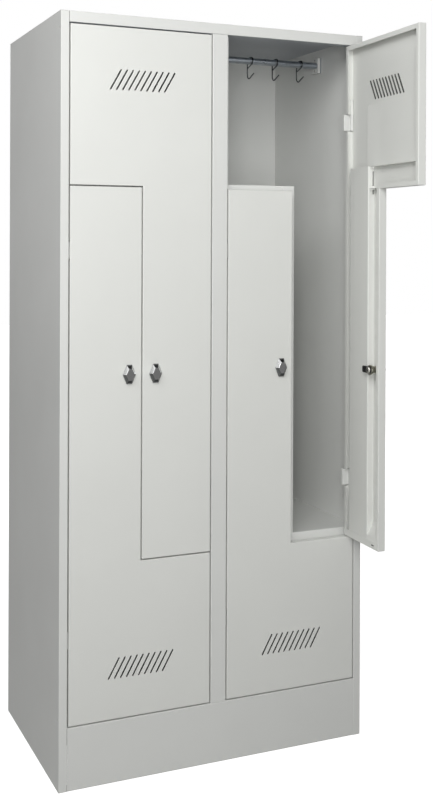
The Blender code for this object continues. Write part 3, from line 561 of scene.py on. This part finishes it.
def addFootCover(name):
    # folded cover over the end of the stiffener at the narrow end of the door's leg; beside
    # the stiffener its tab slopes down to the skin, and a near-black block sits in its slot
    look = footLook
    hingeEdge, away = doorSpan(name)[1:]
    up, lowEnd = (1, 0) if name.startswith("upper") else (-1, 1)
    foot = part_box(name + "_door")[lowEnd][2] / mm
    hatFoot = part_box(name + "_leg_stiffener")[lowEnd][2] / mm
    crown = doorLook["thickness"] + look["clear"]
    coverRise = abs(hatFoot - foot) + look["hatCover"]
    low = [look["edge"], *look["slotHeight"], coverRise]
    tabInsets = (look["tabStart"], look["tabMiddle"], *look["slotInset"], look["tabEnd"])
    insets = look["coverInsets"] + tabInsets
    sheets = []
    for layer in (0.0, look["thickness"]):
        grid = []
        for inset in insets:
            # over the stiffener the cover has no tab, and these points fall together
            shares = look["tabShares"] if inset in tabInsets else [0.0] * len(look["tabShares"])
            heights = low + [coverRise + share * look["tabRise"] for share in shares]
            for height, share in zip(heights, [0.0] * len(low) + list(shares)):
                depth = crown + (look["tabDepth"] - crown) * share * share * (3 - 2 * share) + layer
                across = hingeEdge + away * (min(inset, look["tabCorner"]) if share else inset)
                grid.append(doorPoint(across, depth, foot + up * height))
        sheets.append(grid)
    bm = bmesh.new()
    upSteps = len(low) + len(look["tabShares"]) - 1
    sheetPlate(bm, sheets, len(insets) - 1, upSteps, (insets.index(look["slotInset"][0]), 1))
    bmesh.ops.remove_doubles(bm, verts=bm.verts, dist=look["weld"] * mm)
    addDoorPiece(name, "_foot_cover", bm, doorPaint)

    left, right = look["slotInset"][0] + look["blockGap"], look["slotInset"][1] - look["blockGap"]
    bottom, top = look["slotHeight"][0] + look["blockGap"], look["slotHeight"][1] - look["blockGap"]
    bm = bmesh.new()
    rings = [[doorPoint(hingeEdge + away * across, depth, foot + up * height)
              for across, height in ((left, bottom), (right, bottom), (right, top), (left, top))]
             for depth in (crown + look["thickness"] + look["blockProud"], crown - look["blockDepth"])]
    for ring in bridgeRings(bm, rings):
        bm.faces.new(ring)
    addDoorPiece(name, "_foot_clip", bm, tongueSteel, bevelWidth=look["blockBevel"] * mm)


spindleLook = {
    "bore": 4.1,
    "washerRadius": 8.0,
    "washerDepths": (30.65, 31.35),
    "nutAcross": 13.0,
    "nutDepths": (31.4, 33.8),
    "sides": 36,
    "bevel": 0.2,
}


def addSpindleNut(name):
    # plain washer and hexagon nut that hold the tongue on the spindle
    look = spindleLook
    centre = doorTurn(name).inverted() @ Vector(joints[name + "_knob_turn"]["pos_m"]) / mm

    def ring(radius, depth, hexagonal=False):
        points = []
        for i in range(look["sides"]):
            angle = 2 * math.pi * i / look["sides"]
            reach = radius
            if hexagonal:
                reach = radius / math.cos((angle % (math.pi / 3)) - math.pi / 6)
            points.append(doorPoint(centre.x + reach * math.cos(angle), depth,
                                    centre.z + reach * math.sin(angle)))
        return points

    bm = bmesh.new()
    for radius, (near, far), hexagonal in ((look["washerRadius"], look["washerDepths"], False),
                                           (look["nutAcross"] / 2, look["nutDepths"], True)):
        bridgeRings(bm, [ring(look["bore"], near), ring(radius, near, hexagonal),
                         ring(radius, far, hexagonal), ring(look["bore"], far)], closed=True)
    addDoorPiece(name, "_spindle_nut", bm, fastenerSteel, "_lock", look["bevel"] * mm)


cupLook = {
    "plate": 2.0,
    "gap": 3.6,
    "wrap": 0.7,
    "face": 9.0,
    "seat": 0.25,
    "edge": 0.5,
    "barDepth": 30.0,
    "barHeight": 15.0,
    "barGap": 0.4,
    "corner": 3.0,
    "cornerSlack": 0.01,  # keeps the hole's round ends just short of half circles
    "screwRadius": 3.2,
    "screwHeight": 1.6,
    "screwPlace": 14.5,
    "screwSides": 24,
    # shares of height and radius, from the head's rim to its crown
    "screwDome": ((0.0, 1.0), (0.35, 0.96), (0.7, 0.8), (0.92, 0.5), (1.0, 0.16)),
}


def roundedLoop(halfY, halfZ, corner, sides=64):
    # points of a rounded rectangle, evenly spread by angle so that two such loops match
    points = []
    for i in range(sides):
        angle = 2 * math.pi * (i + 0.5) / sides
        dirY, dirZ = math.cos(angle), math.sin(angle)
        reach = min(halfY / abs(dirY), halfZ / abs(dirZ))
        y, z = dirY * reach, dirZ * reach
        overY, overZ = abs(y) - (halfY - corner), abs(z) - (halfZ - corner)
        if overY > 0 and overZ > 0:
            shrink = corner / math.hypot(overY, overZ)
            if shrink < 1:
                y = math.copysign(halfY - corner + overY * shrink, y)
                z = math.copysign(halfZ - corner + overZ * shrink, z)
        points.append((y, z))
    return points


def addRailCup(railName, end):
    # painted steel collar before the rail's end plate, with two pan-head screws
    look = cupLook
    low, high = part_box(railName)
    centreY, centreZ = [(a + b) / 2 / mm for a, b in zip(low[1:], high[1:])]
    halfY, halfZ = [(b - a) / 2 / mm for a, b in zip(low[1:], high[1:])]
    wallX, inward = (low[0] / mm, 1) if end == "left" else (high[0] / mm, -1)
    start = wallX + inward * look["gap"]
    front = wallX + inward * (look["plate"] + look["seat"] + look["face"])

    def loop(x, sizeY, sizeZ, corner):
        return [Vector((x, centreY + y, centreZ + z)) * mm for y, z in roundedLoop(sizeY, sizeZ, corner)]

    edge, corner = look["edge"], look["corner"]
    outerY, outerZ = halfY + look["wrap"] + look["seat"], halfZ + look["wrap"] + look["seat"]
    holeY, holeZ = look["barDepth"] / 2 + look["barGap"], look["barHeight"] / 2 + look["barGap"]
    holeCorner = holeZ - look["cornerSlack"]
    bm = bmesh.new()
    bridgeRings(bm, [
        loop(start, outerY, outerZ, corner),
        loop(front - inward * edge, outerY, outerZ, corner),
        loop(front, outerY - edge, outerZ - edge, corner - edge),
        loop(front, holeY, holeZ, holeCorner),
        loop(start, holeY, holeZ, holeCorner),
    ], closed=True)
    addPiece(railName + "_" + end + "_cup", bm, carcassPaint, "carcass")

    bm = bmesh.new()
    angles = [2 * math.pi * i / look["screwSides"] for i in range(look["screwSides"])]
    for way in (1, -1):
        screwZ = centreZ + way * look["screwPlace"]
        dome = []
        for heightShare, radiusShare in look["screwDome"]:
            x = front + inward * look["screwHeight"] * heightShare
            radius = look["screwRadius"] * radiusShare
            dome.append([Vector((x, centreY + radius * math.cos(angle),
                                 screwZ + radius * math.sin(angle))) * mm for angle in angles])
        rows = bridgeRings(bm, dome)
        bm.faces.new(rows[0])
        bm.faces.new(rows[-1])
    addPiece(railName + "_" + end + "_screws", bm, fastenerSteel, "carcass")


for doorName in doorNames:
    addVentShadeLinings(doorName)
    addBacking(doorName)
    addFootCover(doorName)
    addSpindleNut(doorName)
for railColumn in ("left", "right"):
    for railRow in ("upper", "lower"):
        for railEnd in ("left", "right"):
            addRailCup(railColumn + "_" + railRow + "_rail", railEnd)
print("fittings on")


def seenDirectly(tree):
    # 1 for the camera, reflections and light through glass, 0 for the light on the cabinet
    paths = addNode(tree, "ShaderNodeLightPath")
    seen = addNode(tree, "ShaderNodeMath", {"operation": "MAXIMUM"},
                   {0: paths.outputs["Is Camera Ray"], 1: paths.outputs["Is Glossy Ray"]})
    return addNode(tree, "ShaderNodeMath", {"operation": "MAXIMUM"},
                   {0: seen.outputs[0], 1: paths.outputs["Is Transmission Ray"]}).outputs[0]


skyLook = {
    "light": 0.11,
    "seen": 1.0,
}


def makeSky():
    world = bpy.data.worlds.new("softSky")
    bpy.context.scene.world = world
    world.use_nodes = True
    tree = world.node_tree
    background = tree.nodes["Background"]
    background.inputs["Color"].default_value = (1, 1, 1, 1)
    strength = addNode(tree, "ShaderNodeMapRange", {"To Min": skyLook["light"], "To Max": skyLook["seen"]},
                       {"Value": seenDirectly(tree)})
    tree.links.new(strength.outputs["Result"], background.inputs["Strength"])


floorLook = {
    "reach": 14.0,  # metres, half the card's side
    "drop": 0.5,
    "seen": "F2F2F0",
    "fleck": "F8F8F6",
    "fleckSize": 400.0,
    "bounce": "8C8C8A",
    "roughness": 0.9,
    "nearGlow": 0.78,
    "farGlow": 1.0,
    "glowDistances": (0.8, 2.2),  # metres from the cabinet's middle
    "mirrored": 0.6,
}


def makeFloor():
    look = floorLook
    bm = bmesh.new()
    bmesh.ops.create_grid(bm, x_segments=1, y_segments=1, size=look["reach"])
    mesh = bpy.data.meshes.new("studioFloor")
    bm.to_mesh(mesh)
    bm.free()
    floor = bpy.data.objects.new("studioFloor", mesh)
    floor.location.z = -look["drop"] * mm
    bpy.context.scene.collection.objects.link(floor)
    # matt white card to the camera, with the cabinet's soft shadow on it; reflections see
    # only the mirrored share of it, and it lights the cabinet no more than a mid grey floor
    made, tree, shader = newMaterial("whiteStudioFloor", look["bounce"], look["roughness"])
    place = addNode(tree, "ShaderNodeTexCoord")
    fleck = addNode(tree, "ShaderNodeTexNoise", {"Scale": perMetre(look["fleckSize"]), "Detail": 2.0},
                    {"Vector": place.outputs["Object"]})
    tint = addNode(tree, "ShaderNodeMix",
                   {"data_type": "RGBA", 6: linear(look["seen"]), 7: linear(look["fleck"])},
                   {0: fleck.outputs["Fac"]})
    card = addNode(tree, "ShaderNodeBsdfDiffuse", None, {"Color": tint.outputs[2]})
    near, far = look["glowDistances"]
    distance = addNode(tree, "ShaderNodeVectorMath", {"operation": "LENGTH"}, {0: place.outputs["Object"]})
    strength = addNode(tree, "ShaderNodeMapRange", {"From Min": near, "From Max": far,
                                                    "To Min": look["nearGlow"], "To Max": look["farGlow"]},
                       {"Value": distance.outputs["Value"]})
    glow = addNode(tree, "ShaderNodeEmission", None, {"Strength": strength.outputs["Result"]})
    whiteCard = addNode(tree, "ShaderNodeAddShader", None, {0: card.outputs[0], 1: glow.outputs[0]})
    share = addNode(tree, "ShaderNodeMath",
                    {"operation": "MULTIPLY_ADD", 1: 1 - look["mirrored"], 2: look["mirrored"]},
                    {0: addNode(tree, "ShaderNodeLightPath").outputs["Is Camera Ray"]})
    whiteness = addNode(tree, "ShaderNodeMath", {"operation": "MULTIPLY"},
                        {0: seenDirectly(tree), 1: share.outputs[0]})
    pick = addNode(tree, "ShaderNodeMixShader", None,
                   {0: whiteness.outputs[0], 1: shader.outputs[0], 2: whiteCard.outputs[0]})
    tree.links.new(pick.outputs[0], tree.nodes["Material Output"].inputs["Surface"])
    mesh.materials.append(made)


# metres and watts: two soft panels before the doors, one high on the left, one behind
lampLook = {
    "keyPanel": {"place": (-0.9, -1.9, 2.4), "target": (0, -0.2, 1.0), "size": (1.0, 1.0), "power": 24.0},
    "nearPanel": {"place": (-1.1, -3.0, 1.3), "target": (0.2, -0.1, 1.1), "size": (0.9, 1.2), "power": 38.0},
    "highPanel": {"place": (-1.9, -1.4, 2.6), "target": (0, -0.2, 1.2), "size": (0.8, 0.8), "power": 11.0},
    "backPanel": {"place": (2.6, 3.4, 2.6), "target": (0, 0, 0.9), "size": (2.4, 1.8), "power": 26.0},
}


def addLamp(name, look):
    data = bpy.data.lights.new(name, "AREA")
    data.shape = "RECTANGLE"
    data.size, data.size_y = look["size"]
    data.energy = look["power"]
    lamp = bpy.data.objects.new(name, data)
    lamp.location = look["place"]
    aim = Vector(look["target"]) - Vector(look["place"])
    lamp.rotation_euler = aim.to_track_quat("-Z", "Y").to_euler()
    bpy.context.scene.collection.objects.link(lamp)


# metres and radians, solved on the photograph's corners; principal and frame are pixels
cameraLook = {
    "place": (-1.1053, -2.7512, 1.2685),
    "yaw": 0.4131,
    "pitch": -0.0022,
    "roll": 0.0039,
    "focalPixels": 1122.4,
    "principal": (216.5, 244.3),
    "frame": (433, 800),
    "sensor": 36.0,  # millimetres
    "clip": (0.1, 60.0),
}


def makeCamera():
    look = cameraLook
    width, height = look["frame"]
    longer = max(width, height)
    data = bpy.data.cameras.new("photoCamera")
    data.sensor_width = look["sensor"]
    data.lens = look["focalPixels"] * look["sensor"] / longer
    data.shift_x = -(look["principal"][0] - width / 2) / longer
    data.shift_y = -(height / 2 - look["principal"][1]) / longer
    data.clip_start, data.clip_end = look["clip"]
    camera = bpy.data.objects.new("photoCamera", data)
    turn = (Matrix.Rotation(-look["yaw"], 4, "Z") @ Matrix.Rotation(math.pi / 2 + look["pitch"], 4, "X")
            @ Matrix.Rotation(look["roll"], 4, "Z"))
    camera.matrix_world = Matrix.Translation(look["place"]) @ turn
    bpy.context.scene.collection.objects.link(camera)
    bpy.context.scene.camera = camera


makeSky()
makeFloor()
for lampName, lampSettings in lampLook.items():
    addLamp(lampName, lampSettings)
makeCamera()
bpy.context.scene.view_settings.view_transform = "Standard"
print("stage ready")
